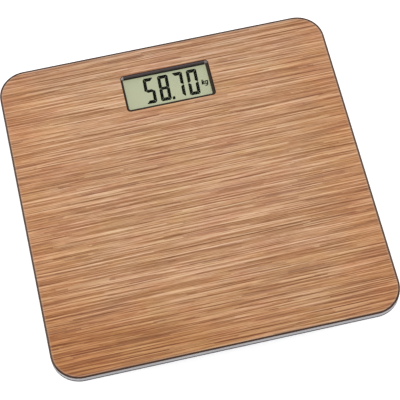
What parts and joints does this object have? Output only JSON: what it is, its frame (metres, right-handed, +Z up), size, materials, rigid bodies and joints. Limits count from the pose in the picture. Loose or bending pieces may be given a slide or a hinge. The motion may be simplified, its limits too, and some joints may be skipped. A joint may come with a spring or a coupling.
{
  "type": "bathroom scale",
  "caption": "Square electronic bathroom scale with a wood-look platform, a recessed LCD window near one edge and sprung load-cell feet under the corners.",
  "frame": {"origin": "on the floor, under the middle of the square platform", "axes": "+Z up, +Y to the edge with the display, +X to the right of someone reading the display"},
  "size_m": [0.28, 0.28, 0.022],
  "materials": {
    "wood_laminate": "matte embossed laminate with a warm streaked wood pattern and a dark bevelled edge",
    "silver_lacquer": "fibreboard with a satin silver lacquer",
    "dark_plastic": "satin",
    "clear_plastic": "clear polished sheet",
    "lcd_glass": "pale grey-green reflective LCD",
    "white_plastic": "satin moulded",
    "grey_plastic": "fine-textured moulded",
    "black_rubber": "matte",
    "circuit_board": "solder mask over glass fibre",
    "black_resin": "glossy resin",
    "nickel_steel": "nickel-plated",
    "lead_jacket": "soft PVC"
  },
  "bodies": {
    "platform": {"surface_laminate": "wood_laminate", "platform_board": "silver_lacquer", "window_bezel": "dark_plastic", "display_lens": "clear_plastic", "lcd_panel": "lcd_glass", "lcd_holder": "white_plastic", "zebra_strip_near": "black_rubber", "zebra_strip_far": "black_rubber", "main_board": "circuit_board", "chip_cover": "black_resin", "unit_switch": "black_resin", "display_housing": "grey_plastic", "housing_cover": "grey_plastic", "battery_contact_negative": "nickel_steel", "battery_contact_positive": "nickel_steel", "coin_cell": "nickel_steel", "cover_screw_1": "nickel_steel", "cover_screw_2": "nickel_steel", "cover_screw_3": "nickel_steel", "cover_screw_4": "nickel_steel", "foot_housing_near_left": "white_plastic", "strain_gauge_near_left": "white_plastic", "load_cell_near_left": "nickel_steel", "foot_screw_near_left_a": "nickel_steel", "foot_screw_near_left_b": "nickel_steel", "sensor_lead_near_left": "lead_jacket", "foot_housing_near_right": "white_plastic", "strain_gauge_near_right": "white_plastic", "load_cell_near_right": "nickel_steel", "foot_screw_near_right_a": "nickel_steel", "foot_screw_near_right_b": "nickel_steel", "sensor_lead_near_right": "lead_jacket", "foot_housing_far_left": "white_plastic", "strain_gauge_far_left": "white_plastic", "load_cell_far_left": "nickel_steel", "foot_screw_far_left_a": "nickel_steel", "foot_screw_far_left_b": "nickel_steel", "sensor_lead_far_left": "lead_jacket", "foot_housing_far_right": "white_plastic", "strain_gauge_far_right": "white_plastic", "load_cell_far_right": "nickel_steel", "foot_screw_far_right_a": "nickel_steel", "foot_screw_far_right_b": "nickel_steel", "sensor_lead_far_right": "lead_jacket", "lead_clip_near_left": "white_plastic", "lead_clip_middle_left": "white_plastic", "lead_clip_near_right": "white_plastic", "lead_clip_middle_right": "white_plastic"},
    "battery_door": {"battery_door": "grey_plastic"},
    "unit_button": {"unit_button": "dark_plastic"},
    "foot_near_left": {"foot_cap_near_left": "white_plastic", "foot_pad_near_left": "black_rubber"},
    "foot_near_right": {"foot_cap_near_right": "white_plastic", "foot_pad_near_right": "black_rubber"},
    "foot_far_left": {"foot_cap_far_left": "white_plastic", "foot_pad_far_left": "black_rubber"},
    "foot_far_right": {"foot_cap_far_right": "white_plastic", "foot_pad_far_right": "black_rubber"}
  },
  "joints": [
    {"name": "battery_door_slide", "type": "slide", "parent": "platform", "child": "battery_door", "axis": [0, -1, 0], "range_m": [0, 0.026]},
    {"name": "unit_button_press", "type": "slide", "parent": "platform", "child": "unit_button", "axis": [0, 0, 1], "range_m": [0, 0.0008], "stiffness_N_per_m": 500, "springref_m": -0.0006},
    {"name": "foot_near_left_press", "type": "slide", "parent": "platform", "child": "foot_near_left", "axis": [0, 0, 1], "range_m": [0, 0.0008], "stiffness_N_per_m": 20000, "springref_m": -0.001},
    {"name": "foot_near_right_press", "type": "slide", "parent": "platform", "child": "foot_near_right", "axis": [0, 0, 1], "range_m": [0, 0.0008], "stiffness_N_per_m": 20000, "springref_m": -0.001},
    {"name": "foot_far_left_press", "type": "slide", "parent": "platform", "child": "foot_far_left", "axis": [0, 0, 1], "range_m": [0, 0.0008], "stiffness_N_per_m": 20000, "springref_m": -0.001},
    {"name": "foot_far_right_press", "type": "slide", "parent": "platform", "child": "foot_far_right", "axis": [0, 0, 1], "range_m": [0, 0.0008], "stiffness_N_per_m": 20000, "springref_m": -0.001}
  ]
}
